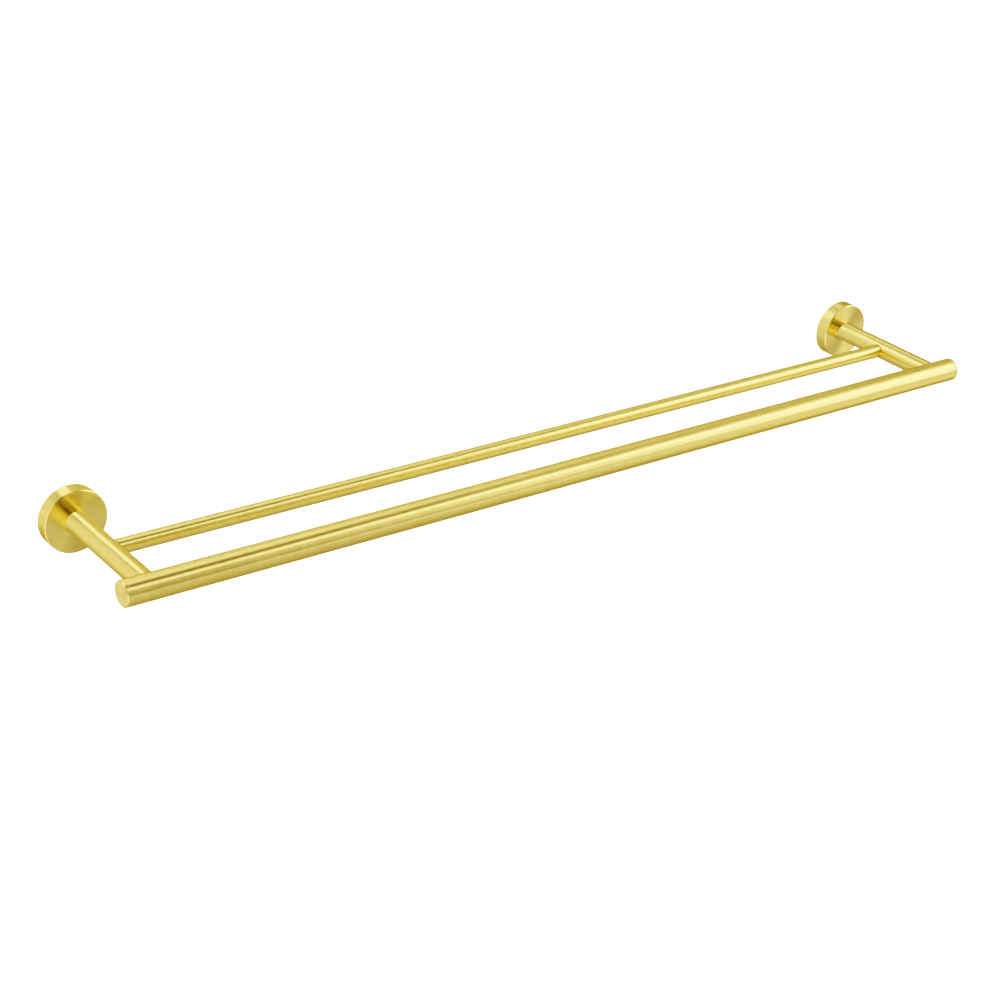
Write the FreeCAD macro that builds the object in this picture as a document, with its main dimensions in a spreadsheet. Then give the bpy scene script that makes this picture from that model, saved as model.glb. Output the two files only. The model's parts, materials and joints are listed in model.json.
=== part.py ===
import FreeCAD, Part
import os

import Sketcher

# Double towel rack for a bathroom wall: a front rail across two posts, a thinner inner rail
# between the posts, and a round rose over a wall bracket at the foot of each post.
#
# Frame: millimetres. The origin is on the wall, midway between the two roses, at the height of
# the rails. +X runs along the rails, +Y points into the wall and +Z points up.

DIMENSIONS = {
    # front rail
    "rail_length": 820,
    "rail_diameter": 20,
    "rail_wall": 1.2,
    "rail_reach": 122,
    "rail_chamfer": 0.6,
    "end_cap_thickness": 3,
    "end_cap_inner_length": 8,
    # posts
    "post_spacing": 776,
    "post_diameter": 17,
    "post_wall": 1.5,
    "base_plug_length": 18,
    # inner rail
    "inner_rail_diameter": 12,
    "inner_rail_wall": 1,
    "inner_rail_reach": 60,
    "spigot_peg_diameter": 8,
    "spigot_peg_end": 6.5,
    "spigot_shoulder": 9,
    "spigot_length": 20,
    # roses
    "rose_diameter": 50,
    "rose_depth": 12,
    "rose_wall": 3,
    "rose_chamfer": 0.6,
    # wall brackets
    "bracket_diameter": 43.4,
    "bracket_depth": 8,
    "bracket_bore": 14,
    "groove_height": 4,
    "groove_depth": 1,
    "groove_floor_width": 3,
    "wall_hole_diameter": 5,
    "wall_hole_spacing": 28,
    "countersink_diameter": 9.5,
    "countersink_angle": 90,
    # M5 set screw that holds each rose on its bracket
    "set_thread": 5,
    "set_length": 4,
    "set_tip_diameter": 2.8,
    "set_tip_gap": 0.02,
    "set_end_chamfer": 0.3,
    "set_key": 2.5,
    "set_key_depth": 1.8,
    # M6 screw that holds each post on its rose
    "post_thread": 6,
    "post_screw_length": 16,
    "post_head_diameter": 10,
    "post_head_height": 4,
    # M5 screw that pulls each post onto the front rail
    "rail_thread": 5,
    "rail_screw_length": 25,
    "rail_head_diameter": 8.5,
    "rail_head_height": 5,
    "rail_seat": 21,
    "rail_tap_depth": 6,
    # shared by both kinds of cap screw
    "cap_key": 4,
    "cap_key_depth": 2.5,
    "screw_passage": 0.3,
    # radial gap of a thread or a slip fit
    "fit_gap": 0.05,
}

# The left post stands at negative X. Its pieces face the right post along their own +X, and the
# right post's pieces are the same ones turned half round about the post's axis.
SIDES = {"left": -1, "right": 1}


class Size:
    """A length and the sheet expression that drives it, kept together through arithmetic."""

    def __init__(self, value, text):
        self.value = value
        self.text = text

    def __add__(self, other):
        return Size(self.value + other.value, f"({self.text} + {other.text})")

    def __sub__(self, other):
        return Size(self.value - other.value, f"({self.text} - {other.text})")

    def __mul__(self, factor):
        return Size(self.value * factor, f"({self.text} * {factor})")

    def __truediv__(self, divisor):
        return Size(self.value / divisor, f"({self.text} / {divisor})")

    def __neg__(self):
        return self * -1


class Sizes:
    """The driving dimensions as attributes, after they have been written to the sheet."""

    def __init__(self, doc):
        sheet = doc.addObject("Spreadsheet::Sheet", "Dimensions")
        for row, (name, value) in enumerate(DIMENSIONS.items(), start=1):
            sheet.set(f"A{row}", name)
            sheet.set(f"B{row}", str(value))
            sheet.setAlias(f"B{row}", name)
            setattr(self, name, Size(value, f"Dimensions.{name}"))
        doc.recompute()


def new_body(doc, label):
    body = doc.addObject("PartDesign::Body", label)
    body.Label = label
    return body


def new_sketch(body, plane, name, offset=None):
    """An empty sketch on one of the body's origin planes, or offset along that plane's normal."""
    sketch = body.newObject("Sketcher::SketchObject", name)
    support = next(f for f in body.Origin.OriginFeatures if f.Role == plane)
    sketch.AttachmentSupport = [(support, "")]
    sketch.MapMode = "FlatFace"
    if offset is not None:
        sketch.setExpression("AttachmentOffset.Base.z", offset.text)
    return sketch


def bind(sketch, constraint, size):
    """Add a constraint with the size's value and drive it from the sheet."""
    index = sketch.addConstraint(Sketcher.Constraint(*constraint, size.value))
    sketch.setExpression(f"Constraints[{index}]", size.text)


def pin_point(sketch, geometry, point, across, up):
    """Fix a point of the sketch. A coordinate that is None lies on the sketch's own axis."""
    if across is None:
        sketch.addConstraint(Sketcher.Constraint("PointOnObject", geometry, point, -2))
    else:
        bind(sketch, ("DistanceX", -1, 1, geometry, point), across)
    if up is None:
        sketch.addConstraint(Sketcher.Constraint("PointOnObject", geometry, point, -1))
    else:
        bind(sketch, ("DistanceY", -1, 1, geometry, point), up)


def draw_outline(sketch, corners):
    """A closed outline of straight lines through the corners."""
    places = [
        FreeCAD.Vector(0 if x is None else x.value, 0 if y is None else y.value, 0)
        for x, y in corners
    ]
    count = len(corners)
    for i in range(count):
        line = Part.LineSegment(places[i], places[(i + 1) % count])
        sketch.addGeometry(line, False)
    for i in range(count):
        following = (i + 1) % count
        sketch.addConstraint(Sketcher.Constraint("Coincident", i, 2, following, 1))
    for i, (across, up) in enumerate(corners):
        pin_point(sketch, i, 1, across, up)


def draw_circle(sketch, diameter, across=None, up=None):
    centre = FreeCAD.Vector(across.value if across else 0, up.value if up else 0, 0)
    circle = Part.Circle(centre, FreeCAD.Vector(0, 0, 1), diameter.value / 2)
    index = sketch.addGeometry(circle, False)
    pin_point(sketch, index, 3, across, up)
    bind(sketch, ("Diameter", index), diameter)


def draw_hexagon(sketch, across_flats):
    """A hexagon about the sketch's origin, with two corners on its horizontal axis."""
    half_flats = across_flats / 2
    corner = across_flats / (3**0.5)
    half_corner = corner / 2
    draw_outline(
        sketch,
        [
            (corner, None),
            (half_corner, half_flats),
            (-half_corner, half_flats),
            (-corner, None),
            (-half_corner, -half_flats),
            (half_corner, -half_flats),
        ],
    )


def turn(body, plane, corners, axis):
    """Revolve a half outline about the sketch's own axis, as on a lathe."""
    sketch = new_sketch(body, plane, f"{body.Name}_outline")
    draw_outline(sketch, corners)
    turned = body.newObject("PartDesign::Revolution", f"{body.Name}_turned")
    turned.Profile = sketch
    turned.ReferenceAxis = (sketch, [axis])
    turned.Angle = 360


def extrude_tube(body, plane, outer, wall, length, offset=None):
    """A tube about the plane's normal: from the offset plane, or centred where none is given."""
    sketch = new_sketch(body, plane, f"{body.Name}_section", offset)
    draw_circle(sketch, outer)
    draw_circle(sketch, outer - wall * 2)
    pad = body.newObject("PartDesign::Pad", f"{body.Name}_length")
    pad.Profile = sketch
    if offset is None:
        pad.SideType = "Symmetric"
    pad.setExpression("Length", length.text)


def check_cut(body, before):
    """A cut that points away from the solid takes nothing off, so the volumes are compared."""
    if not body.Shape.Volume < before:
        raise RuntimeError(f"the last cut in {body.Label} removed nothing")


def cut(body, sketch, side, depth=None):
    """Cut the sketch through the body, or to a depth.

    side is "Symmetric" for both sides of the plane, "ahead" for the side that the plane's normal
    points to, or "behind".
    """
    body.Document.recompute()
    before = body.Shape.Volume
    pocket = body.newObject("PartDesign::Pocket", f"{sketch.Name}_cut")
    pocket.Profile = sketch
    if depth is None:
        pocket.Type = "ThroughAll"
    else:
        pocket.setExpression("Length", depth.text)
    if side == "Symmetric":
        pocket.SideType = "Symmetric"
    else:
        pocket.Reversed = side == "ahead"
    body.Document.recompute()
    check_cut(body, before)


def place(body, side, reach=None):
    """Stand a piece at its post. Pieces other than the left post's are turned half round."""
    turned = FreeCAD.Rotation(FreeCAD.Vector(0, 1, 0), 180 if side > 0 else 0)
    body.Placement = FreeCAD.Placement(FreeCAD.Vector(0, 0, 0), turned)
    body.setExpression("Placement.Base.x", f"{side} * Dimensions.post_spacing / 2")
    if reach is not None:
        body.setExpression("Placement.Base.y", f"-{reach.text}")


def place_upright(body, side, reach=None):
    """Stand a piece at its post without turning it, so that its underside stays below."""
    body.setExpression("Placement.Base.x", f"{side} * Dimensions.post_spacing / 2")
    if reach is not None:
        body.setExpression("Placement.Base.y", f"-{reach.text}")


def make_wall_bracket(doc, d, name, side):
    """A turned disc against the wall. Its rim has a groove for the rose's set screw."""
    body = new_body(doc, f"{name}_wall_bracket")
    rim = d.bracket_diameter / 2
    floor = rim - d.groove_depth
    floor_half = d.groove_floor_width / 2
    mouth_half = floor_half + d.groove_depth
    turn(
        body,
        "XY_Plane",
        [
            (d.bracket_bore / 2, None),
            (rim, None),
            (rim, mouth_half - d.groove_height),
            (floor, floor_half - d.groove_height),
            (floor, -floor_half - d.groove_height),
            (rim, -mouth_half - d.groove_height),
            (rim, -d.bracket_depth),
            (d.bracket_bore / 2, -d.bracket_depth),
        ],
        "V_Axis",
    )
    drill_wall_holes(body, d)
    place_upright(body, side)


def drill_wall_holes(body, d):
    """Two holes one above the other, countersunk on the room side for the wall screws."""
    holes = new_sketch(body, "XZ_Plane", f"{body.Name}_wall_holes", d.bracket_depth)
    half_spacing = d.wall_hole_spacing / 2
    draw_circle(holes, d.wall_hole_diameter, up=half_spacing)
    draw_circle(holes, d.wall_hole_diameter, up=-half_spacing)
    body.Document.recompute()
    before = body.Shape.Volume
    drilled = body.newObject("PartDesign::Hole", f"{body.Name}_drilled")
    drilled.Profile = holes
    drilled.DepthType = "ThroughAll"
    drilled.HoleCutType = "Countersink"
    drilled.HoleCutCustomValues = True
    drilled.setExpression("Diameter", d.wall_hole_diameter.text)
    drilled.setExpression("HoleCutDiameter", d.countersink_diameter.text)
    drilled.setExpression("HoleCutCountersinkAngle", d.countersink_angle.text)
    body.Document.recompute()
    check_cut(body, before)


def make_rose(doc, d, name, side):
    """A cup over the bracket, with a tapped hole through its underside."""
    body = new_body(doc, f"{name}_rose")
    outer = d.rose_diameter / 2
    inner = outer - d.rose_wall
    passage = d.post_thread / 2 + d.screw_passage
    face = -d.rose_depth
    inside = d.rose_wall - d.rose_depth
    turn(
        body,
        "XY_Plane",
        [
            (passage, face),
            (outer - d.rose_chamfer, face),
            (outer, face + d.rose_chamfer),
            (outer, None),
            (inner, None),
            (inner, inside),
            (passage, inside),
        ],
        "V_Axis",
    )
    tapping = new_sketch(body, "XY_Plane", f"{body.Name}_set_hole")
    draw_circle(tapping, d.set_thread, up=-d.groove_height)
    cut(body, tapping, "behind")
    place_upright(body, side)


def make_rose_set_screw(doc, d, name, side):
    """A short headless screw, point up, whose tip sits in the bracket's groove."""
    body = new_body(doc, f"{name}_rose_set_screw")
    radius = d.set_thread / 2 - d.fit_gap
    tip = d.set_tip_diameter / 2
    top = d.groove_depth - d.bracket_diameter / 2 - d.set_tip_gap
    cone = top - (radius - tip)
    bottom = top - d.set_length
    turn(
        body,
        "XZ_Plane",
        [
            (None, top),
            (tip, top),
            (radius, cone),
            (radius, bottom + d.set_end_chamfer),
            (radius - d.set_end_chamfer, bottom),
            (None, bottom),
        ],
        "V_Axis",
    )
    socket = new_sketch(body, "XY_Plane", f"{body.Name}_socket", bottom)
    draw_hexagon(socket, d.set_key)
    cut(body, socket, "ahead", d.set_key_depth)
    place_upright(body, side, d.groove_height)


def make_post(doc, d, name, side):
    """A tube from the rose to the front rail, whose front end is hollowed to sit on the rail."""
    body = new_body(doc, f"{name}_post")
    length = d.rail_reach - d.rose_depth
    extrude_tube(body, "XZ_Plane", d.post_diameter, d.post_wall, length, d.rose_depth)
    saddle = new_sketch(body, "YZ_Plane", f"{body.Name}_saddle")
    draw_circle(saddle, d.rail_diameter, across=-d.rail_reach)
    cut(body, saddle, "Symmetric")
    peg_hole = new_sketch(body, "YZ_Plane", f"{body.Name}_peg_hole")
    draw_circle(peg_hole, d.spigot_peg_diameter, across=-d.inner_rail_reach)
    cut(body, peg_hole, "ahead")
    place(body, side)


def make_post_base_plug(doc, d, name, side):
    """A threaded plug in the foot of the post, which takes the screw from the rose."""
    body = new_body(doc, f"{name}_post_base_plug")
    bore = d.post_thread / 2
    outer = d.post_diameter / 2 - d.post_wall - d.fit_gap
    foot = -d.rose_depth
    end = foot - d.base_plug_length
    turn(body, "XY_Plane", [(bore, foot), (outer, foot), (outer, end), (bore, end)], "V_Axis")
    place(body, side)


def make_post_nose_plug(doc, d, name, side):
    """A plug in the front of the post. Its back is the seat of the rail screw's head."""
    body = new_body(doc, f"{name}_post_nose_plug")
    bore = d.rail_thread / 2 + d.screw_passage / 2
    outer = d.post_diameter / 2 - d.post_wall - d.fit_gap
    seat = d.rail_seat - d.rail_reach
    front = -d.rail_reach
    turn(body, "XY_Plane", [(bore, seat), (outer, seat), (outer, front), (bore, front)], "V_Axis")
    saddle = new_sketch(body, "YZ_Plane", f"{body.Name}_saddle")
    draw_circle(saddle, d.rail_diameter, across=-d.rail_reach)
    cut(body, saddle, "Symmetric")
    place(body, side)


def make_cap_screw(body, d, seat, thread, length, head_diameter, head_height):
    """A screw along the post's axis, head towards the wall, with a hexagon socket."""
    shank = thread / 2 - d.fit_gap
    head = head_diameter / 2
    top = seat + head_height
    end = seat - length
    turn(
        body,
        "XY_Plane",
        [(None, top), (head, top), (head, seat), (shank, seat), (shank, end), (None, end)],
        "V_Axis",
    )
    socket = new_sketch(body, "XZ_Plane", f"{body.Name}_socket", -top)
    draw_hexagon(socket, d.cap_key)
    cut(body, socket, "ahead", d.cap_key_depth)


def make_post_screw(doc, d, name, side):
    """The screw from inside the rose into the post's base plug."""
    body = new_body(doc, f"{name}_post_screw")
    seat = d.rose_wall - d.rose_depth
    make_cap_screw(
        body,
        d,
        seat,
        d.post_thread,
        d.post_screw_length,
        d.post_head_diameter,
        d.post_head_height,
    )
    place(body, side)


def make_rail_screw(doc, d, name, side):
    """The screw inside the post that pulls it onto the front rail."""
    body = new_body(doc, f"{name}_rail_screw")
    seat = d.rail_seat - d.rail_reach
    make_cap_screw(
        body,
        d,
        seat,
        d.rail_thread,
        d.rail_screw_length,
        d.rail_head_diameter,
        d.rail_head_height,
    )
    place(body, side)


def make_rail_end_cap(doc, d, name, side):
    """A turned plug: its head closes the rail's end, its shank is tapped for the rail screw."""
    body = new_body(doc, f"{name}_rail_end_cap")
    overhang = (d.rail_length - d.post_spacing) / 2
    head = d.rail_diameter / 2
    shank = head - d.rail_wall - d.fit_gap
    outer_end = -overhang
    shoulder = outer_end + d.end_cap_thickness
    inner_end = d.end_cap_inner_length
    turn(
        body,
        "XY_Plane",
        [
            (outer_end, None),
            (outer_end, head - d.rail_chamfer),
            (outer_end + d.rail_chamfer, head),
            (shoulder, head),
            (shoulder, shank),
            (inner_end, shank),
            (inner_end, None),
        ],
        "H_Axis",
    )
    tapping = new_sketch(body, "XZ_Plane", f"{body.Name}_tapped_hole", d.rail_tap_depth)
    draw_circle(tapping, d.rail_thread)
    cut(body, tapping, "behind")
    place(body, side, d.rail_reach)


def make_inner_rail_spigot(doc, d, name, side):
    """A dowel in the inner rail's end, whose thinner peg enters the side of the post."""
    body = new_body(doc, f"{name}_inner_rail_spigot")
    peg = d.spigot_peg_diameter / 2 - d.fit_gap
    shank = d.inner_rail_diameter / 2 - d.inner_rail_wall - d.fit_gap
    end = d.spigot_shoulder + d.spigot_length
    turn(
        body,
        "XY_Plane",
        [
            (d.spigot_peg_end, None),
            (d.spigot_peg_end, peg),
            (d.spigot_shoulder, peg),
            (d.spigot_shoulder, shank),
            (end, shank),
            (end, None),
        ],
        "H_Axis",
    )
    place(body, side, d.inner_rail_reach)


def make_front_rail(doc, d):
    """The long tube in front, with a hole in its back for each rail screw."""
    body = new_body(doc, "front_rail")
    length = d.rail_length - d.end_cap_thickness * 2
    extrude_tube(body, "YZ_Plane", d.rail_diameter, d.rail_wall, length)
    passages = new_sketch(body, "XZ_Plane", f"{body.Name}_screw_holes")
    half_spacing = d.post_spacing / 2
    for x in (half_spacing, -half_spacing):
        draw_circle(passages, d.rail_thread + d.screw_passage, across=x)
    cut(body, passages, "behind")
    body.setExpression("Placement.Base.y", f"-{d.rail_reach.text}")


def make_inner_rail(doc, d):
    """The thinner tube between the posts, hollowed at both ends to fit their sides."""
    body = new_body(doc, "inner_rail")
    extrude_tube(
        body, "YZ_Plane", d.inner_rail_diameter, d.inner_rail_wall, d.post_spacing
    )
    saddles = new_sketch(body, "XZ_Plane", f"{body.Name}_saddles")
    half_spacing = d.post_spacing / 2
    for x in (half_spacing, -half_spacing):
        draw_circle(saddles, d.post_diameter, across=x)
    cut(body, saddles, "Symmetric")
    body.setExpression("Placement.Base.y", f"-{d.inner_rail_reach.text}")


def make_all(doc, d):
    make_front_rail(doc, d)
    make_inner_rail(doc, d)
    for name, side in SIDES.items():
        make_wall_bracket(doc, d, name, side)
        make_rose(doc, d, name, side)
        make_rose_set_screw(doc, d, name, side)
        make_post(doc, d, name, side)
        make_post_base_plug(doc, d, name, side)
        make_post_screw(doc, d, name, side)
        make_post_nose_plug(doc, d, name, side)
        make_rail_screw(doc, d, name, side)
        make_rail_end_cap(doc, d, name, side)
        make_inner_rail_spigot(doc, d, name, side)
    doc.recompute()


def check_document(doc, bodies):
    """Stop if any feature failed or any piece isn't one valid solid."""
    for item in doc.Objects:
        if {"Invalid", "Error"} & set(item.State):
            raise RuntimeError(f"{item.Label} failed: {item.State}")
    for body in bodies:
        shape = body.Shape
        if shape.isNull() or not shape.isValid() or len(shape.Solids) != 1:
            raise RuntimeError(f"{body.Label} is not one valid solid")


def main():
    doc = FreeCAD.newDocument("TowelRack")
    make_all(doc, Sizes(doc))
    bodies = [item for item in doc.Objects if item.TypeId == "PartDesign::Body"]
    check_document(doc, bodies)
    os.makedirs("parts", exist_ok=True)
    for body in bodies:
        body.Shape.exportStep(f"parts/{body.Label}.step")
        box = body.Shape.BoundBox
        print(
            f"{body.Label}: {body.Shape.Volume:.1f} mm3, x {box.XMin:.2f}..{box.XMax:.2f},"
            f" y {box.YMin:.2f}..{box.YMax:.2f}, z {box.ZMin:.2f}..{box.ZMax:.2f}"
        )


main()
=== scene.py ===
import json
import math

import bpy
from mathutils import Matrix, Vector

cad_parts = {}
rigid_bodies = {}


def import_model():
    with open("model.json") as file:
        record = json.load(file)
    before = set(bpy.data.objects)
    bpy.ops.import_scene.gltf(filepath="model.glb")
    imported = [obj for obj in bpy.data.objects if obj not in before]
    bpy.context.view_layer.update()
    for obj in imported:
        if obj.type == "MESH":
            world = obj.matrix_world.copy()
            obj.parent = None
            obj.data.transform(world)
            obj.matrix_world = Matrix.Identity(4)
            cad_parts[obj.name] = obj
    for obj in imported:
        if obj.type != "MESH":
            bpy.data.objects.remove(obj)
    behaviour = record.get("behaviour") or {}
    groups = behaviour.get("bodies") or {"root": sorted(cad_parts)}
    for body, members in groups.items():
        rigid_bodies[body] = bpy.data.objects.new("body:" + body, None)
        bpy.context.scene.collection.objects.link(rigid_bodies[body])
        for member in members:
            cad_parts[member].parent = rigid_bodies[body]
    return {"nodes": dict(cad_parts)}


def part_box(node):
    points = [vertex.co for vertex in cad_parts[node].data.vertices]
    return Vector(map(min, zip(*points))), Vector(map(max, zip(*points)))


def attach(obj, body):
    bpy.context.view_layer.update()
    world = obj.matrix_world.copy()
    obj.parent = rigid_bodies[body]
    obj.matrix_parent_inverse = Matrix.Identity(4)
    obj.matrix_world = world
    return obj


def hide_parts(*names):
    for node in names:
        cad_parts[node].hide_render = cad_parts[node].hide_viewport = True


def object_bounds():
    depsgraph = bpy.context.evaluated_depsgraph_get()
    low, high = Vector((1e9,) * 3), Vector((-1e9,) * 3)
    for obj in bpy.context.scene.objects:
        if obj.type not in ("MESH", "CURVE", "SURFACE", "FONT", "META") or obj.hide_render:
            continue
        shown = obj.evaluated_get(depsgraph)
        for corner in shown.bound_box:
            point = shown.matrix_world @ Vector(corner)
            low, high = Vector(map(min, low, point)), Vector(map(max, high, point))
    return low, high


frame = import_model()
cad_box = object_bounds()

# ---------------------------------------------------------------- sizes, in metres
MM = 0.001
TURN = 2 * math.pi
SIDES = {"left": -1, "right": 1}

POST_WALL = 1.5 * MM
RAIL_WALL = 1.2 * MM
INNER_RAIL_WALL = 1.0 * MM
ROSE_WALL = 3.0 * MM
ROSE_CHAMFER = 0.6 * MM
CAP_CHAMFER = 0.6 * MM
CAP_SHANK_GAP = 0.05 * MM
EDGE_BREAK = 0.1 * MM
SEAM_BREAK = 0.12 * MM
ROSE_EDGE_BREAK = 0.08 * MM
CLEARANCE = 2 * MM
BRACKET_BORE = 7.0 * MM
GROOVE_DEPTH = 1.0 * MM
GROOVE_FLOOR_HALF = 1.5 * MM
GROOVE_HEIGHT = 4.0 * MM
WALL_HOLE_RADIUS = 2.5 * MM
WALL_HOLE_RISE = 14.0 * MM
COUNTERSINK_RADIUS = 4.75 * MM
COUNTERSINK_OVERRUN = 0.5 * MM
SET_THREAD_RADIUS = 2.5 * MM
SET_HOLE_LENGTH = 8 * MM
SET_HOLE_FLARE = 0.5 * MM
SET_SCREW_HEXAGON = 2.5 * MM
SET_SCREW_SOCKET_DEPTH = 1.8 * MM
SET_SCREW_TIP_RADIUS = 1.4 * MM
SET_SCREW_PITCH = 0.8 * MM
SET_SCREW_THREAD_DEPTH = 0.35 * MM
CAP_SCREW_HEXAGON = 4 * MM
CAP_SCREW_SOCKET_DEPTH = 2.5 * MM
CAP_SCREW_LEAD = 0.5 * MM
CAP_SCREW_THREAD_GAP = 0.05 * MM
CAP_SCREW_THREAD_DEPTH = 0.6
SCREW_PASSAGE_RADIUS = 3.3 * MM
RAIL_PASSAGE_RADIUS = 2.65 * MM
PEG_HOLE_RADIUS = 4.0 * MM
CAP_TAPPED_START = 6 * MM
PASSAGE_MARGIN = 9 * MM
FRONT_RAIL_MIDDLE_STATIONS = [-0.2, 0.0, 0.2]
INNER_RAIL_STATIONS = [-0.37, -0.2, 0.0, 0.2, 0.37]
POST_STATIONS = [0.03, 0.052, 0.068, 0.09, 0.105]
FACE_SLOPE = 0.97
POINT_RADIUS = 1e-9
ARC_STEPS = 3
DRILL_STEPS = 48
SHARP_DEGREES = 40
NORMAL_WEIGHT = 80


# ---------------------------------------------------------------- mesh building
def value(item, turn_angle):
    """A ring's radius or height, which is a number or a function of the angle."""
    return item(turn_angle) if callable(item) else item


def is_point(ring):
    """True for a ring of radius 0, which is a single vertex."""
    return not callable(ring[0]) and ring[0] < POINT_RADIUS


def revolve(name, rings, steps, closed):
    """A mesh from rings of (radius, height) round the local Z axis.

    A ring of radius 0 is a single vertex. closed joins the last ring to the first.
    """
    vertices = []
    rows = []
    for radius, height in rings:
        if is_point((radius, height)):
            rows.append([len(vertices)] * steps)
            vertices.append((0.0, 0.0, value(height, 0.0)))
            continue
        rows.append([len(vertices) + i for i in range(steps)])
        for i in range(steps):
            angle = TURN * i / steps
            r = value(radius, angle)
            vertices.append((r * math.cos(angle), r * math.sin(angle), value(height, angle)))
    faces = []
    pairs = list(zip(rows, rows[1:]))
    if closed:
        pairs.append((rows[-1], rows[0]))
    for low, high in pairs:
        for i in range(steps):
            j = (i + 1) % steps
            corners = [low[i], low[j], high[j], high[i]]
            faces.append(list(dict.fromkeys(corners)))
    mesh = bpy.data.meshes.new(name)
    mesh.from_pydata(vertices, [], faces)
    mesh.validate()
    mesh.update()
    piece = bpy.data.objects.new(name, mesh)
    bpy.context.scene.collection.objects.link(piece)
    return piece


def rounded(points, radius, skip=()):
    """The closed profile with each corner replaced by a small arc. skip lists corners kept sharp."""
    result = []
    count = len(points)
    for i, corner in enumerate(points):
        here = Vector(corner)
        before = Vector(points[i - 1]) - here
        after = Vector(points[(i + 1) % count]) - here
        if i in skip:
            result.append(tuple(here))
            continue
        half = before.angle(after) / 2
        reach = min(radius / math.tan(half), before.length * 0.4, after.length * 0.4)
        start = here + before.normalized() * reach
        end = here + after.normalized() * reach
        for k in range(ARC_STEPS + 1):
            t = k / ARC_STEPS
            bend = start.lerp(here, t).lerp(here.lerp(end, t), t)
            result.append(tuple(bend))
    return result


def turn_towards(z_axis):
    """The rotation that takes local Z to a unit vector and keeps local X level where it can."""
    up = Vector((0, 0, 1)) if abs(z_axis.z) < 0.9 else Vector((0, 1, 0))
    x_axis = up.cross(z_axis).normalized()
    y_axis = z_axis.cross(x_axis)
    return Matrix((x_axis, y_axis, z_axis)).transposed().to_4x4()


def place(piece, origin, outward):
    """Stands the piece on origin with its local Z along outward."""
    turn = turn_towards(Vector(outward).normalized())
    piece.matrix_world = Matrix.Translation(origin) @ turn


def cut_away(piece, cutters):
    """Takes the cutters' solids out of the piece's mesh and removes the cutters."""
    bpy.context.view_layer.update()
    for cutter in cutters:
        cut = piece.modifiers.new("cut", "BOOLEAN")
        cut.operation = "DIFFERENCE"
        cut.solver = "EXACT"
        cut.object = cutter
    bpy.context.view_layer.update()
    evaluated = piece.evaluated_get(bpy.context.evaluated_depsgraph_get())
    mesh = bpy.data.meshes.new_from_object(evaluated)
    piece.modifiers.clear()
    piece.data = mesh
    for cutter in cutters:
        bpy.data.objects.remove(cutter)


def drill(name, radius, length, origin, direction, flare=0.0, flare_start=0.0):
    """A cutter: a cylinder from origin along direction, widening by flare past flare_start."""
    rings = [(0.0, 0.0), (radius, 0.0)]
    if flare:
        rings.append((radius, flare_start))
        rings.append((radius + flare, flare_start + flare))
        rings.append((radius + flare, length))
    else:
        rings.append((radius, length))
    rings.append((0.0, length))
    cutter = revolve(name, rings, DRILL_STEPS, closed=False)
    place(cutter, origin, direction)
    return cutter


def finish_piece(piece, body, nodes, material):
    """Shading, material and the frame's bookkeeping for one new piece."""
    mesh = piece.data
    mesh.materials.clear()
    mesh.materials.append(material)
    mesh.shade_smooth()
    mesh.set_sharp_from_angle(angle=math.radians(SHARP_DEGREES))
    weighted = piece.modifiers.new("weighted_normals", "WEIGHTED_NORMAL")
    weighted.keep_sharp = True
    weighted.weight = NORMAL_WEIGHT
    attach(piece, body)
    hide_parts(*nodes)


def hexagon(across_flats):
    """The radius of a hexagon at an angle."""
    def radius(angle):
        sixth = (angle + TURN / 12) % (TURN / 6) - TURN / 12
        return across_flats / 2 / math.cos(sixth)
    return radius


def thread_rings(root, crest, pitch, start, end, per_turn=8):
    """Rings of a screw thread between two heights, fading out at both ends."""
    rings = []
    count = max(2, round(abs(end - start) / pitch * per_turn))
    for k in range(count + 1):
        height = start + (end - start) * k / count
        fade = min(1.0, min(k, count - k) / per_turn + 0.15)
        rings.append((thread_radius(root, crest, pitch, height, fade), height))
    return rings


def thread_radius(root, crest, pitch, height, fade):
    """The radius of a helical thread at a height, as a function of the angle. fade 0 is a plain rod."""
    def radius(angle):
        phase = (height / pitch - angle / TURN) % 1.0
        ridge = 1 - abs(2 * phase - 1)
        ridge = min(1.0, max(0.0, ridge * 1.25 - 0.125))
        return crest - (crest - root) * (1 - ridge) * fade
    return radius


# ---------------------------------------------------------------- materials
NOISE_LOW = 0.3
NOISE_HIGH = 0.7
BRUSHED_ROUND_THE_AXIS = 0.25
FINE_MARKS_ROUND = 9.0
COARSE_MARKS_ROUND = 4.0
COARSE_SHARE = 5
BROAD_SCALE = 14.0
ROUGHNESS_SPREAD = 0.015
DARK_MARK = 0.93
PALE_MARK = 1.05
WORN_TINT = (0.97, 0.965, 0.95)
WHITE = (1.0, 1.0, 1.0)


def node(tree, kind, **settings):
    made = tree.nodes.new(kind)
    for key, setting in settings.items():
        setattr(made, key, setting)
    return made


def link(tree, source, target):
    tree.links.new(source, target)


def math_node(tree, operation, first, second=None):
    made = node(tree, "ShaderNodeMath", operation=operation)
    for socket, item in zip(made.inputs, (first, second)):
        if item is None:
            continue
        if isinstance(item, (int, float)):
            socket.default_value = item
        else:
            link(tree, item, socket)
    return made.outputs[0]


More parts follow.
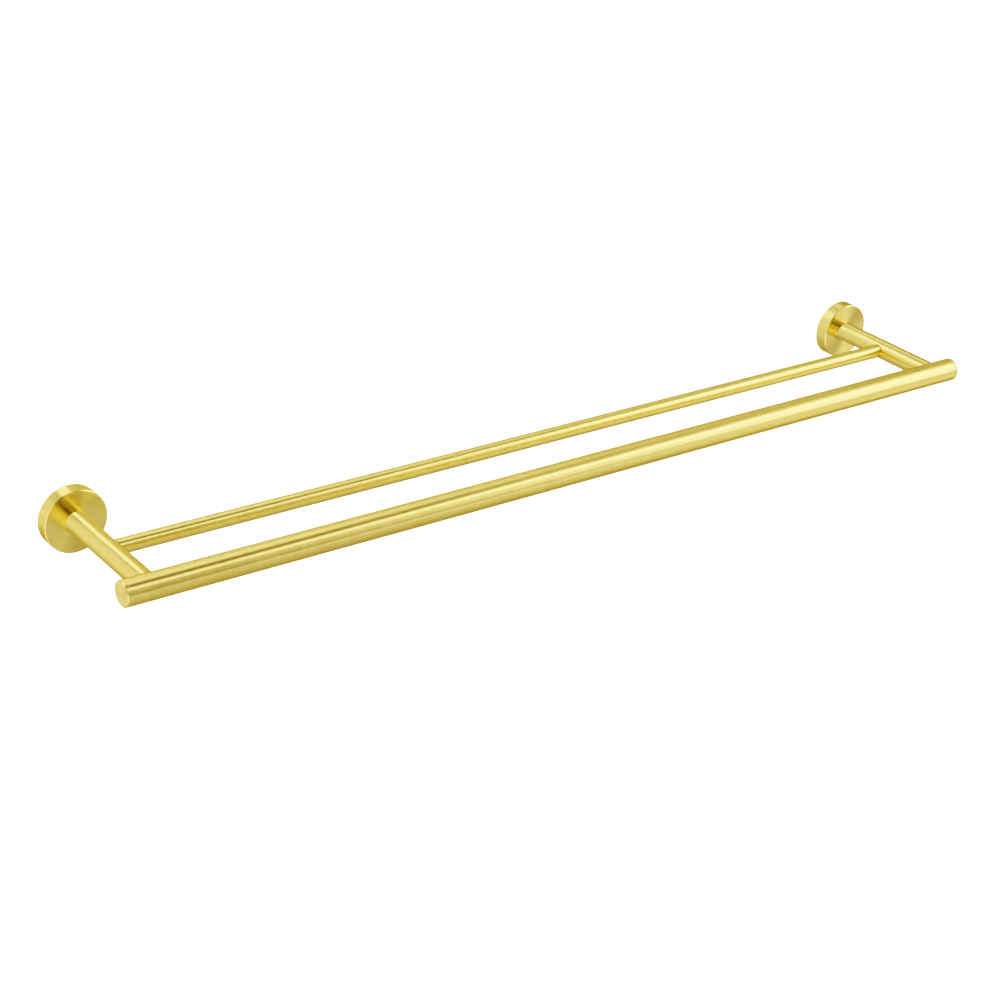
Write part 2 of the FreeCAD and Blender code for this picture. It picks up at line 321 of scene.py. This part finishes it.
def turned_coordinates(tree, centre, axis, across, along):
    """Noise coordinates whose marks run round the axis, as a lathe or a belt leaves them.

    across is the number of marks per metre along the axis or the radius, along per metre round it.
    """
    texture = node(tree, "ShaderNodeTexCoord")
    split = node(tree, "ShaderNodeSeparateXYZ")
    link(tree, texture.outputs["Object"], split.inputs[0])
    names = [n for n in "XYZ" if n != axis]
    flat = [math_node(tree, "SUBTRACT", split.outputs[n], centre["XYZ".index(n)]) for n in names]
    squares = [math_node(tree, "MULTIPLY", f, f) for f in flat]
    radius = math_node(tree, "SQRT", math_node(tree, "ADD", squares[0], squares[1]))
    safe = math_node(tree, "MAXIMUM", radius, 1e-5)
    stretched = math_node(tree, "ADD", radius, split.outputs[axis])
    joined = node(tree, "ShaderNodeCombineXYZ")
    shrink = math_node(tree, "POWER", safe, -0.5)
    for k, f in enumerate(flat):
        round_axis = math_node(tree, "MULTIPLY", math_node(tree, "MULTIPLY", f, shrink), along)
        link(tree, round_axis, joined.inputs[k])
    link(tree, math_node(tree, "MULTIPLY", stretched, across), joined.inputs[2])
    return joined.outputs[0], texture.outputs["Object"]


def noise(tree, vector, scale, detail=2.0, roughness=0.5):
    made = node(tree, "ShaderNodeTexNoise")
    made.inputs["Scale"].default_value = scale
    made.inputs["Detail"].default_value = detail
    made.inputs["Roughness"].default_value = roughness
    link(tree, vector, made.inputs["Vector"])
    return made.outputs["Fac"]


def spread(tree, source, low, high):
    """The middle of a noise's range stretched to low and high."""
    made = node(tree, "ShaderNodeMapRange")
    made.inputs["From Min"].default_value = NOISE_LOW
    made.inputs["From Max"].default_value = NOISE_HIGH
    made.inputs["To Min"].default_value = low
    made.inputs["To Max"].default_value = high
    link(tree, source, made.inputs["Value"])
    return made.outputs["Result"]


def tinted(tree, factor, low_colour, high_colour):
    """A colour between the two, chosen by factor."""
    made = node(tree, "ShaderNodeMix", data_type="RGBA")
    made.inputs["A"].default_value = (*low_colour, 1)
    made.inputs["B"].default_value = (*high_colour, 1)
    link(tree, factor, made.inputs["Factor"])
    return made.outputs["Result"]


def scaled(colour, factor):
    return tuple(c * factor for c in colour)


def turned_metal(name, colour, roughness, anisotropy, marks, depth,
                 centre=(0, 0, 0), axis="Z", edge=WHITE):
    """A metal brushed round its axis.

    marks is the number of fine marks per metre, depth their height in metres, edge the glancing tint.
    """
    material = bpy.data.materials.new(name)
    material.use_nodes = True
    tree = material.node_tree
    shader = tree.nodes["Principled BSDF"]
    shader.inputs["Metallic"].default_value = 1.0
    shader.inputs["Anisotropic"].default_value = anisotropy
    shader.inputs["Anisotropic Rotation"].default_value = BRUSHED_ROUND_THE_AXIS
    shader.inputs["Specular Tint"].default_value = (*edge, 1)
    tangent = node(tree, "ShaderNodeTangent", direction_type="RADIAL", axis=axis)
    link(tree, tangent.outputs["Tangent"], shader.inputs["Tangent"])

    fine_vector, plain = turned_coordinates(tree, centre, axis, marks, FINE_MARKS_ROUND)
    fine = noise(tree, fine_vector, 1.0, 3.0, 0.65)
    coarse_vector, _ = turned_coordinates(tree, centre, axis, marks / COARSE_SHARE, COARSE_MARKS_ROUND)
    coarse = noise(tree, coarse_vector, 1.0, 2.0, 0.6)
    broad = noise(tree, plain, BROAD_SCALE)

    streaks = math_node(tree, "ADD", math_node(tree, "MULTIPLY", fine, 0.6),
                        math_node(tree, "MULTIPLY", coarse, 0.4))
    marked = tinted(tree, spread(tree, streaks, 0.0, 1.0),
                    scaled(colour, DARK_MARK), scaled(colour, PALE_MARK))
    worn = node(tree, "ShaderNodeMix", data_type="RGBA", blend_type="MULTIPLY")
    worn.inputs["Factor"].default_value = 1.0
    link(tree, marked, worn.inputs["A"])
    wear = tinted(tree, spread(tree, broad, 0.0, 1.0), WORN_TINT, WHITE)
    link(tree, wear, worn.inputs["B"])
    link(tree, worn.outputs["Result"], shader.inputs["Base Color"])

    uneven = spread(tree, broad, roughness - ROUGHNESS_SPREAD, roughness + ROUGHNESS_SPREAD)
    link(tree, uneven, shader.inputs["Roughness"])

    bump = node(tree, "ShaderNodeBump")
    bump.inputs["Strength"].default_value = 1.0
    bump.inputs["Distance"].default_value = depth
    link(tree, streaks, bump.inputs["Height"])
    link(tree, bump.outputs["Normal"], shader.inputs["Normal"])
    return material


GOLD = (0.90, 0.753, 0.320)
BRASS = (0.80, 0.62, 0.30)
STEEL = (0.58, 0.60, 0.63)
SCREW_STEEL = (0.50, 0.515, 0.54)

GOLD_EDGE = (0.66, 0.57, 0.30)
GOLD_MARK_DEPTH = 0.0008 * MM
TURNED_MARK_DEPTH = 0.004 * MM
SCREW_MARK_DEPTH = 0.002 * MM

gold = {
    part: turned_metal(f"brushed_gold_{part}", GOLD, roughness, anisotropy, marks, GOLD_MARK_DEPTH,
                       edge=edge)
    for part, roughness, anisotropy, marks, edge in (
        ("rail", 0.29, 0.84, 900, GOLD_EDGE),
        ("inner_rail", 0.29, 0.84, 900, GOLD_EDGE),
        ("post", 0.31, 0.80, 850, GOLD_EDGE),
        ("rose", 0.33, 0.76, 800, GOLD_EDGE),
        ("rose_face", 0.30, 0.90, 800, WHITE),
        ("end_cap", 0.38, 0.65, 800, WHITE),
    )
}
# The rose cup's inside: brass darkened to 0.22 as painted shade in the hollow.
bare_brass = turned_metal("bare_brass", scaled(BRASS, 0.22), 0.5, 0.3, 1200, TURNED_MARK_DEPTH)
steel = turned_metal("bracket_steel", STEEL, 0.38, 0.6, 1500, TURNED_MARK_DEPTH)
screw_steel = turned_metal("screw_steel", SCREW_STEEL, 0.36, 0.4, 1800, SCREW_MARK_DEPTH)
set_screw_steel = turned_metal("set_screw_steel", scaled(SCREW_STEEL, 0.8), 0.38, 0.4, 1800,
                               SCREW_MARK_DEPTH)


# ---------------------------------------------------------------- pieces
def middle(node_name):
    """The centre of a CAD node's box."""
    low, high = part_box(node_name)
    return (low + high) / 2


def saddle(distance, cylinder_radius, tube_radius, cosine_axis):
    """The height at which a tube's wall meets a cross cylinder, at an angle round the tube.

    cosine_axis is the angle at which the tube's wall lies in the cross cylinder's own plane.
    """
    def height(angle):
        offset = tube_radius * math.cos(angle - cosine_axis)
        return distance - math.sqrt(cylinder_radius ** 2 - offset ** 2)
    return height


def lifted(base, step):
    """A height, number or function, moved by step."""
    if callable(base):
        return lambda angle: base(angle) + step
    return base + step


def mirrored(base):
    """A height that is a function of the angle, at the other end of the piece."""
    return lambda angle: -base(angle)


def tube_rings(outer, inner, low, high, low_inner, high_inner, stations, edge):
    """A closed profile of a tube with softened ends; low and high may be functions of the angle."""
    rings = [(outer - edge, low), (outer, lifted(low, edge))]
    rings += [(outer, z) for z in stations]
    rings += [(outer, lifted(high, -edge)), (outer - edge, high)]
    rings += [(inner + edge, high_inner), (inner, lifted(high_inner, -edge))]
    rings += [(inner, z) for z in reversed(stations)]
    rings += [(inner, lifted(low_inner, edge)), (inner + edge, low_inner)]
    return rings


def make_front_rail():
    low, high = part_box("front_rail")
    centre = middle("front_rail")
    outer = (high.z - low.z) / 2
    half = (high.x - low.x) / 2
    inner = outer - RAIL_WALL
    post_x = abs(middle("left_post").x)
    stations = sorted(s * (post_x + k * PASSAGE_MARGIN) for s in (-1, 1) for k in (-1, 1))
    stations = stations[:2] + FRONT_RAIL_MIDDLE_STATIONS + stations[2:]
    rings = tube_rings(outer, inner, -half, half, -half, half, stations, SEAM_BREAK)
    rail = revolve("front_rail_tube", rings, 128, closed=True)
    place(rail, centre, (1, 0, 0))
    cutters = []
    for name, side in SIDES.items():
        start = centre + Vector((side * post_x, 0, 0))
        cutters.append(drill(f"passage_{name}", RAIL_PASSAGE_RADIUS, 2 * outer, start, (0, 1, 0)))
    cut_away(rail, cutters)
    finish_piece(rail, "rack", ["front_rail"], gold["rail"])


def make_end_cap(name, side):
    node_name = f"{name}_rail_end_cap"
    low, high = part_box(node_name)
    centre = middle(node_name)
    rail_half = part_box("front_rail")[1].x
    radius = (high.z - low.z) / 2
    shank = radius - RAIL_WALL - CAP_SHANK_GAP
    outer_end = max(abs(low.x), abs(high.x))
    inner_end = min(abs(low.x), abs(high.x))
    profile = [
        (0.0, inner_end), (shank, inner_end), (shank, rail_half), (radius, rail_half),
        (radius, outer_end - CAP_CHAMFER), (radius - CAP_CHAMFER, outer_end), (0.0, outer_end),
    ]
    rings = rounded(profile, EDGE_BREAK, skip=(0, 6))
    rings.insert(-1, (radius * 0.5, outer_end))
    cap = revolve(f"{name}_rail_end_cap_turned", rings, 128, closed=False)
    place(cap, Vector((0, centre.y, centre.z)), (side, 0, 0))
    post_x = abs(middle(f"{name}_post").x)
    tapped = Vector((side * post_x, centre.y - CAP_TAPPED_START, centre.z))
    cut_away(cap, [drill("tapped", SET_THREAD_RADIUS, 2 * radius, tapped, (0, 1, 0))])
    finish_piece(cap, "rack", [node_name], gold["end_cap"])


def make_post(name, side):
    node_name = f"{name}_post"
    low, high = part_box(node_name)
    centre = middle(node_name)
    outer = (high.x - low.x) / 2
    inner = outer - POST_WALL
    foot = -high.y
    reach = -middle("front_rail").y
    rail_low, rail_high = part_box("front_rail")
    rail_radius = (rail_high.z - rail_low.z) / 2
    vertical = TURN / 4
    tip = saddle(reach, rail_radius, outer, vertical)
    tip_inner = saddle(reach, rail_radius, inner, vertical)
    stations = [foot + CLEARANCE] + POST_STATIONS
    rings = tube_rings(outer, inner, foot, tip, foot, tip_inner, stations, EDGE_BREAK)
    post = revolve(f"{name}_post_tube", rings, 112, closed=True)
    place(post, Vector((centre.x, 0, 0)), (0, -1, 0))
    peg = Vector((centre.x, middle("inner_rail").y, 0))
    cut_away(post, [drill("peg", PEG_HOLE_RADIUS, 2 * outer, peg, (-side, 0, 0))])
    finish_piece(post, "rack", [node_name], gold["post"])


def make_inner_rail():
    low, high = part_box("inner_rail")
    centre = middle("inner_rail")
    outer = (high.z - low.z) / 2
    inner = outer - INNER_RAIL_WALL
    post_low, post_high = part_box("right_post")
    post_radius = (post_high.x - post_low.x) / 2
    post_x = (post_high.x + post_low.x) / 2
    vertical = TURN / 4
    high_end = saddle(post_x, post_radius, outer, vertical)
    high_inner = saddle(post_x, post_radius, inner, vertical)
    rings = tube_rings(outer, inner, mirrored(high_end), high_end, mirrored(high_inner), high_inner,
                       INNER_RAIL_STATIONS, EDGE_BREAK)
    rail = revolve("inner_rail_tube", rings, 96, closed=True)
    place(rail, centre, (1, 0, 0))
    finish_piece(rail, "rack", ["inner_rail"], gold["inner_rail"])


def make_rose(name):
    """The cup over the bracket. Its wall and its face each have their own finish; its inside is brass
    darkened as painted shade.
    """
    node_name = f"{name}_rose"
    low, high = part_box(node_name)
    centre = middle(node_name)
    radius = (high.x - low.x) / 2
    face = -low.y
    inner = radius - ROSE_WALL
    inside = face - ROSE_WALL
    profile = [
        (SCREW_PASSAGE_RADIUS, face), (radius - ROSE_CHAMFER, face), (radius, face - ROSE_CHAMFER),
        (radius, 0.0), (inner, 0.0), (inner, inside), (SCREW_PASSAGE_RADIUS, inside),
    ]
    rings = rounded(profile, ROSE_EDGE_BREAK)
    rose = revolve(f"{name}_rose_cup", rings, 192, closed=True)
    place(rose, Vector((centre.x, 0, 0)), (0, -1, 0))
    start = Vector((centre.x, -GROOVE_HEIGHT, -inner + CLEARANCE))
    hole = drill("set_hole", SET_THREAD_RADIUS, SET_HOLE_LENGTH, start, (0, 0, -1),
                 flare=SET_HOLE_FLARE, flare_start=ROSE_WALL + 1.75 * MM)
    cut_away(rose, [hole])
    finish_piece(rose, "rack", [node_name], gold["rose"])
    rose.data.materials.append(gold["rose_face"])
    # The hollow inside of the cup gets the darkened brass, which is painted shade.
    rose.data.materials.append(bare_brass)
    for polygon in rose.data.polygons:
        reach = math.hypot(polygon.center.x, polygon.center.y)
        if polygon.normal.z > FACE_SLOPE and polygon.center.z > inside:
            polygon.material_index = 1
        elif reach < inner + EDGE_BREAK and polygon.center.z < inside + EDGE_BREAK:
            polygon.material_index = 2


def make_set_screw(name):
    node_name = f"{name}_rose_set_screw"
    low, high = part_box(node_name)
    centre = middle(node_name)
    crest = (high.x - low.x) / 2
    root = crest - SET_SCREW_THREAD_DEPTH
    length = high.z - low.z
    tip = SET_SCREW_TIP_RADIUS
    socket = hexagon(SET_SCREW_HEXAGON)
    cone = crest - tip
    body_end = length - cone
    rings = [
        (0.0, SET_SCREW_SOCKET_DEPTH), (socket, SET_SCREW_SOCKET_DEPTH), (socket, 0.12 * MM),
        (1.62 * MM, 0.0), (crest - 0.3 * MM, 0.0), (crest - 0.1 * MM, 0.2 * MM),
    ]
    rings += thread_rings(root, crest, SET_SCREW_PITCH, 0.3 * MM, body_end - 0.05 * MM, 10)
    rings += [
        (crest - 0.15 * MM, body_end), (tip, length - 0.02 * MM), (tip * 0.9, length), (0.0, length),
    ]
    screw = revolve(f"{name}_set_screw_threaded", rings, 60, closed=False)
    place(screw, Vector((centre.x, centre.y, low.z)), (0, 0, 1))
    finish_piece(screw, f"{name}_set_screw", [node_name], set_screw_steel)


def make_bracket(name):
    node_name = f"{name}_wall_bracket"
    low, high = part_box(node_name)
    centre = middle(node_name)
    rim = (high.x - low.x) / 2
    depth = -low.y
    floor = rim - GROOVE_DEPTH
    mouth = GROOVE_FLOOR_HALF + GROOVE_DEPTH
    profile = [
        (BRACKET_BORE, 0.0), (BRACKET_BORE, depth), (rim, depth), (rim, GROOVE_HEIGHT + mouth),
        (floor, GROOVE_HEIGHT + GROOVE_FLOOR_HALF), (floor, GROOVE_HEIGHT - GROOVE_FLOOR_HALF),
        (rim, GROOVE_HEIGHT - mouth), (rim, 0.0),
    ]
    rings = rounded(profile, EDGE_BREAK)
    bracket = revolve(f"{name}_wall_bracket_turned", rings, 128, closed=True)
    place(bracket, Vector((centre.x, 0, 0)), (0, -1, 0))
    sink = COUNTERSINK_RADIUS - WALL_HOLE_RADIUS
    cutters = []
    for rise in (WALL_HOLE_RISE, -WALL_HOLE_RISE):
        start = Vector((centre.x, CLEARANCE, rise))
        cutters.append(drill("wall_hole", WALL_HOLE_RADIUS, depth + 2 * CLEARANCE, start, (0, -1, 0),
                             flare=sink + COUNTERSINK_OVERRUN, flare_start=depth + CLEARANCE - sink))
    cut_away(bracket, cutters)
    finish_piece(bracket, "rack", [node_name], steel)


def make_cap_screw(node_name, thread_radius_outer, pitch, head_height):
    """A socket screw along Y, head towards the wall."""
    low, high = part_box(node_name)
    centre = middle(node_name)
    head = (high.x - low.x) / 2
    length = high.y - low.y
    crest = thread_radius_outer - CAP_SCREW_THREAD_GAP
    root = crest - CAP_SCREW_THREAD_DEPTH * pitch
    socket = hexagon(CAP_SCREW_HEXAGON)
    rings = [
        (0.0, CAP_SCREW_SOCKET_DEPTH), (socket, CAP_SCREW_SOCKET_DEPTH),
        (socket, 0.15 * MM), (2.55 * MM, 0.0),
        (head - 0.4 * MM, 0.0), (head - 0.12 * MM, 0.12 * MM), (head, 0.4 * MM),
        (head, head_height - 0.1 * MM), (head - 0.1 * MM, head_height), (crest, head_height),
    ]
    rings += thread_rings(root, crest, pitch, head_height + 0.6 * MM, length - CAP_SCREW_LEAD)
    rings += [(crest - CAP_SCREW_LEAD, length), (0.0, length)]
    screw = revolve(f"{node_name}_threaded", rings, 48, closed=False)
    place(screw, Vector((centre.x, high.y, 0)), (0, -1, 0))
    finish_piece(screw, "rack", [node_name], screw_steel)


def finish_sealed_nodes(name):
    """The turned brass pieces inside the tubes keep their CAD shape and get a turned finish."""
    for node_name, axis in (
        (f"{name}_post_base_plug", "Y"),
        (f"{name}_post_nose_plug", "Y"),
        (f"{name}_inner_rail_spigot", "X"),
    ):
        centre = tuple(middle(node_name))
        turned = turned_metal(f"{node_name}_brass", BRASS, 0.34, 0.6, 1600,
                              TURNED_MARK_DEPTH, centre, axis)
        frame["nodes"][node_name].material_slots[0].material = turned


make_front_rail()
make_inner_rail()
for side_name, side_sign in SIDES.items():
    make_end_cap(side_name, side_sign)
    make_post(side_name, side_sign)
    make_rose(side_name)
    make_set_screw(side_name)
    make_bracket(side_name)
    make_cap_screw(f"{side_name}_post_screw", 3 * MM, 1.0 * MM, 4 * MM)
    make_cap_screw(f"{side_name}_rail_screw", 2.5 * MM, 0.8 * MM, 5 * MM)
    finish_sealed_nodes(side_name)


REFLECTED = ("rail_tube", "post_tube", "end_cap_turned")


def choose_reflections():
    """Only rails, posts and caps are reflected, so that light from behind reaches the posts' feet."""
    for piece in bpy.context.scene.objects:
        if piece.type == "MESH":
            piece.visible_glossy = piece.name.endswith(REFLECTED)


choose_reflections()


# ---------------------------------------------------------------- floor, light and camera
FLOOR_DROP = 2.6
STUDIO_REACH = 30.0
STUDIO_HEIGHT = 26.0
SWEEP_STEPS = 24
FLOOR_GLOW = 1.6
FLOOR_DARKEST = 0.86
FLOOR_PALEST = 0.88


def make_floor():
    """A pale floor that sweeps up into a pale dome. It is only seen, it lights nothing."""
    sweep = [i * TURN / 4 / SWEEP_STEPS for i in range(SWEEP_STEPS)]
    rings = [(0.0, 0.0), (STUDIO_REACH / 3, 0.0), (STUDIO_REACH * 0.8, 0.0)]
    rings += [(STUDIO_REACH * math.cos(a), STUDIO_HEIGHT * (0.1 + 0.9 * math.sin(a))) for a in sweep]
    rings.append((0.0, STUDIO_HEIGHT))
    floor = revolve("floor", rings, 96, closed=False)
    floor.location.z = cad_box[0].z - FLOOR_DROP
    floor.data.shade_smooth()
    material = bpy.data.materials.new("pale_floor")
    material.use_nodes = True
    tree = material.node_tree
    shader = tree.nodes["Principled BSDF"]
    shader.inputs["Roughness"].default_value = 0.9
    shader.inputs["Specular IOR Level"].default_value = 0.0
    texture = node(tree, "ShaderNodeTexCoord")
    cloud = noise(tree, texture.outputs["Object"], 0.2)
    pale = tinted(tree, cloud, scaled(WHITE, FLOOR_DARKEST), scaled(WHITE, FLOOR_PALEST))
    link(tree, pale, shader.inputs["Base Color"])
    link(tree, pale, shader.inputs["Emission Color"])
    shader.inputs["Emission Strength"].default_value = FLOOR_GLOW
    floor.data.materials.append(material)
    floor.visible_glossy = False
    floor.visible_diffuse = False
    floor.visible_shadow = False


def smooth_step(tree, source, low, high):
    made = node(tree, "ShaderNodeMapRange", interpolation_type="SMOOTHSTEP")
    made.inputs["From Min"].default_value = low
    made.inputs["From Max"].default_value = high
    link(tree, source, made.inputs["Value"])
    return made.outputs["Result"]


def direction(azimuth, elevation):
    """The unit vector towards a place in the studio. Azimuth 0 is the room side, 90 is +X."""
    a = math.radians(azimuth)
    e = math.radians(elevation)
    return Vector((math.cos(e) * math.sin(a), -math.cos(e) * math.cos(a), math.sin(e)))


# (azimuth, elevation, width, radiance): soft glows of the white surroundings, angles in degrees.
# These rows are the rounded output of a separate least-squares fit to the photograph's brightness.
GLOWS = (
    (156.8, -7.0, 30.0, 0.71),
    (69.7, -27.5, 10.3, 1.60),
    (-146.0, -16.6, 16.0, 0.58),
)
LIGHT_TINT = (1.0, 0.95, 0.85)
STUDIO_TOP = 0.08
STUDIO_TABLE = 0.37
STUDIO_BOTTOM = 0.38


def make_world():
    """A dark studio above a pale table, with soft glows where its white walls are lit."""
    world = bpy.data.worlds.new("studio")
    bpy.context.scene.world = world
    world.use_nodes = True
    tree = world.node_tree
    background = tree.nodes["Background"]
    texture = node(tree, "ShaderNodeTexCoord")
    split = node(tree, "ShaderNodeSeparateXYZ")
    link(tree, texture.outputs["Generated"], split.inputs[0])
    above = smooth_step(tree, split.outputs["Z"], -0.12, 0.12)
    deep = smooth_step(tree, split.outputs["Z"], -0.2, -0.9)
    deepening = math_node(tree, "MULTIPLY", deep, STUDIO_BOTTOM - STUDIO_TABLE)
    table = math_node(tree, "ADD", STUDIO_TABLE, deepening)
    rise = math_node(tree, "MULTIPLY", above, math_node(tree, "SUBTRACT", STUDIO_TOP, table))
    total = math_node(tree, "ADD", table, rise)
    for azimuth, elevation, width, radiance in GLOWS:
        facing = node(tree, "ShaderNodeVectorMath", operation="DOT_PRODUCT")
        facing.inputs[1].default_value = direction(azimuth, elevation)
        link(tree, texture.outputs["Generated"], facing.inputs[0])
        sharpness = 1 / (1 - math.cos(math.radians(width)))
        short_of = math_node(tree, "SUBTRACT", facing.outputs["Value"], 1.0)
        fall = math_node(tree, "MULTIPLY", short_of, sharpness)
        glow = math_node(tree, "MULTIPLY", math_node(tree, "EXPONENT", fall), radiance)
        total = math_node(tree, "ADD", total, glow)
    link(tree, total, background.inputs["Strength"])
    background.inputs["Color"].default_value = (*LIGHT_TINT, 1)


STUDIO_RADIUS = 8.0
# name: (azimuth, elevation, half width, half height, roll, radiance), angles in degrees.
# front_panel and front_strip were placed one by one. The other rows are the rounded output of the same
# fit as GLOWS, with table_panel's roll and radiance and side_softbox's half height then changed.
SOFTBOXES = {
    "key_softbox": (54.3, 23.8, 13.0, 22.6, -15.2, 2.07),
    "side_softbox": (102.7, 3.3, 11.5, 48.0, 25.1, 1.50),
    "back_left_softbox": (-125.9, 51.1, 13.0, 11.2, -59.7, 2.77),
    "back_left_strip": (-115.1, 56.5, 11.1, 4.4, -52.5, 1.89),
    "left_panel": (-113.9, 25.1, 45.4, 18.4, 24.2, 0.63),
    "ceiling_panel": (130.2, 62.7, 20.8, 9.8, -46.9, 0.99),
    "back_strip": (177.1, 38.1, 10.5, 4.8, -2.9, 4.04),
    "back_panel": (130.6, 37.8, 25.7, 17.8, -23.8, 0.24),
    "table_panel": (-48.7, -26.0, 33.0, 31.5, 0.0, 0.71),
    "front_panel": (-42.0, 16.0, 18.0, 14.0, 0.0, 0.75),
    "front_strip": (8.0, 50.0, 13.0, 9.0, 0.0, 1.20),
    "low_strip": (39.0, -8.2, 3.0, 12.3, -19.2, 1.71),
}


def softbox(name, azimuth, elevation, half_width, half_height, roll, radiance):
    """A far area light facing the object. radiance is how bright it looks in a mirror."""
    data = bpy.data.lights.new(name, "AREA")
    data.shape = "RECTANGLE"
    data.size = 2 * STUDIO_RADIUS * math.tan(math.radians(half_width))
    data.size_y = 2 * STUDIO_RADIUS * math.tan(math.radians(half_height))
    data.energy = radiance * data.size * data.size_y * math.pi
    data.color = LIGHT_TINT
    light = bpy.data.objects.new(name, data)
    bpy.context.scene.collection.objects.link(light)
    z_axis = direction(azimuth, elevation)
    place_at = Matrix.Translation(z_axis * STUDIO_RADIUS)
    rolled = Matrix.Rotation(math.radians(roll), 4, "Z")
    light.matrix_world = place_at @ turn_towards(z_axis) @ rolled
    light.visible_camera = False


def make_lights():
    for name, numbers in SOFTBOXES.items():
        softbox(name, *numbers)


def aim(obj, target):
    toward = target - obj.location
    obj.rotation_euler = toward.to_track_quat("-Z", "Y").to_euler()


# The camera comes from a separate fit of the finished sizes to the photograph's outline.
CAMERA_AIM = Vector((-0.04005, -0.061, -0.04644))
CAMERA_AZIMUTH = -38.37
CAMERA_ELEVATION = 26.58
CAMERA_ROLL = 4.147
CAMERA_DISTANCE = 1.7416
CAMERA_LENS = 78.01
CAMERA_SENSOR = 36.0
CAMERA_CLIP_END = 200.0


def make_camera():
    data = bpy.data.cameras.new("camera")
    data.lens = CAMERA_LENS
    data.sensor_width = CAMERA_SENSOR
    data.clip_end = CAMERA_CLIP_END
    camera = bpy.data.objects.new("camera", data)
    bpy.context.scene.collection.objects.link(camera)
    camera.location = CAMERA_AIM + direction(CAMERA_AZIMUTH, CAMERA_ELEVATION) * CAMERA_DISTANCE
    aim(camera, CAMERA_AIM)
    camera.rotation_euler.rotate_axis("Z", math.radians(CAMERA_ROLL))
    bpy.context.scene.camera = camera


TONE_WHITE = 1.35
# (scene brightness, shown brightness). The points from 0.098 to 0.872 are the output of a separate fit to
# the photograph's colours. The darker ones and the ends were set one by one.
TONE_POINTS = (
    (0.0, 0.0), (0.02, 0.003), (0.041, 0.0095), (0.063, 0.0235), (0.098, 0.0665), (0.151, 0.1668),
    (0.235, 0.3144), (0.363, 0.525), (0.563, 0.740), (0.872, 0.908), (TONE_WHITE, 1.0),
)


def make_tone_curve():
    """A film-like tone curve: deep shadows and soft highlights."""
    view = bpy.context.scene.view_settings
    view.view_transform = "Standard"
    view.look = "None"
    view.exposure = 0.0
    view.gamma = 1.0
    view.use_curve_mapping = True
    mapping = view.curve_mapping
    mapping.use_clip = False
    mapping.white_level = (TONE_WHITE,) * 3
    curve = mapping.curves[3]
    points = [(x / TONE_WHITE, y) for x, y in TONE_POINTS]
    curve.points[0].location = points[0]
    curve.points[-1].location = points[-1]
    for x, y in points[1:-1]:
        curve.points.new(x, y)
    mapping.update()


make_floor()
make_world()
make_lights()
make_camera()
make_tone_curve()
